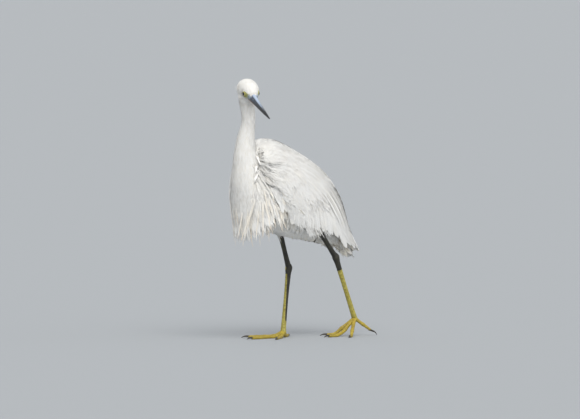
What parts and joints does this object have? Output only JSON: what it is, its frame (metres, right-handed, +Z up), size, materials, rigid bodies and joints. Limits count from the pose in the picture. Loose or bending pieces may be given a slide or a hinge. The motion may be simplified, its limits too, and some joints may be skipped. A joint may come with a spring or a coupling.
{
  "type": "little egret model",
  "caption": "Life-size still model of a little egret wading, with its neck upright, its head turned to its left, wings folded and long loose plumes hanging from its breast.",
  "frame": {"origin": "middle of the lower face of the bounding box, on the plane that the feet stand on", "axes": "+Z up; the bird walks towards -Y, its left side faces +X, and its bill points between -Y and +X"},
  "size_m": [0.1614, 0.295, 0.4048],
  "materials": {
    "plumage_white": "soft white feathers, matt",
    "plumage_cream": "soft feathers, white to warm cream, matt",
    "bill_upper": "dark blue-grey horn with a soft sheen",
    "bill_lower": "dark horn, pinkish at the root",
    "eye": "clear polished eye, pale yellow ring round a black pupil",
    "leg_black": "black scaled skin, satin",
    "leg_yellow": "yellow-green scaled skin blotched black, satin",
    "foot_yellow": "yellow scaled skin, satin"
  },
  "bodies": {
    "root": {"head": "plumage_white", "eye_left": "eye", "eye_right": "eye", "bill_upper": "bill_upper", "bill_lower": "bill_lower", "neck_upper": "plumage_white", "neck_lower": "plumage_cream", "torso": "plumage_white", "wing_left": "plumage_white", "wing_right": "plumage_white", "tail": "plumage_cream", "thigh_left": "plumage_white", "thigh_right": "plumage_white", "shank_left": "leg_black", "shank_right": "leg_black", "tarsus_left": "leg_yellow", "tarsus_right": "leg_yellow", "foot_left": "foot_yellow", "foot_right": "foot_yellow"}
  },
  "joints": []
}
